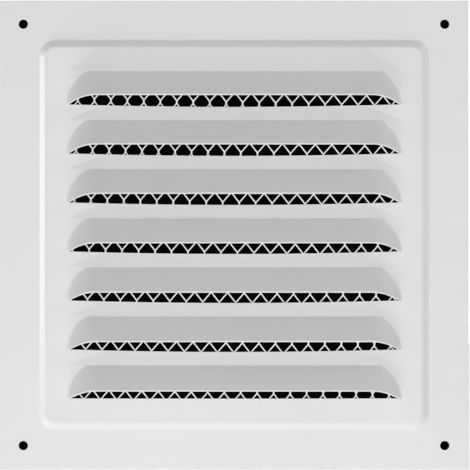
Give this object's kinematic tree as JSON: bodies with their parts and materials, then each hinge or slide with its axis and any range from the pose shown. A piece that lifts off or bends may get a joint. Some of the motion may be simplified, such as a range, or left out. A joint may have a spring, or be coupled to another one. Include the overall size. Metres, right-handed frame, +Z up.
{
  "type": "square vent grille",
  "caption": "Square white-painted steel vent grille: downward louvres pressed from a raised panel, a screw hole in each corner and an expanded-metal insect mesh behind the slots.",
  "frame": {"origin": "middle of the plate's flat back, on the wall plane", "axes": "+X to the right as seen from the front, +Z up as it hangs with the slots facing down, +Y into the wall, so the louvres face -Y"},
  "size_m": [0.2, 0.014, 0.2],
  "materials": {
    "plate_paint": "semi-gloss white powder coat",
    "mesh_paint": "white powder coat on expanded metal"
  },
  "bodies": {
    "root": {"face_plate": "plate_paint", "insect_mesh": "mesh_paint"}
  },
  "joints": []
}
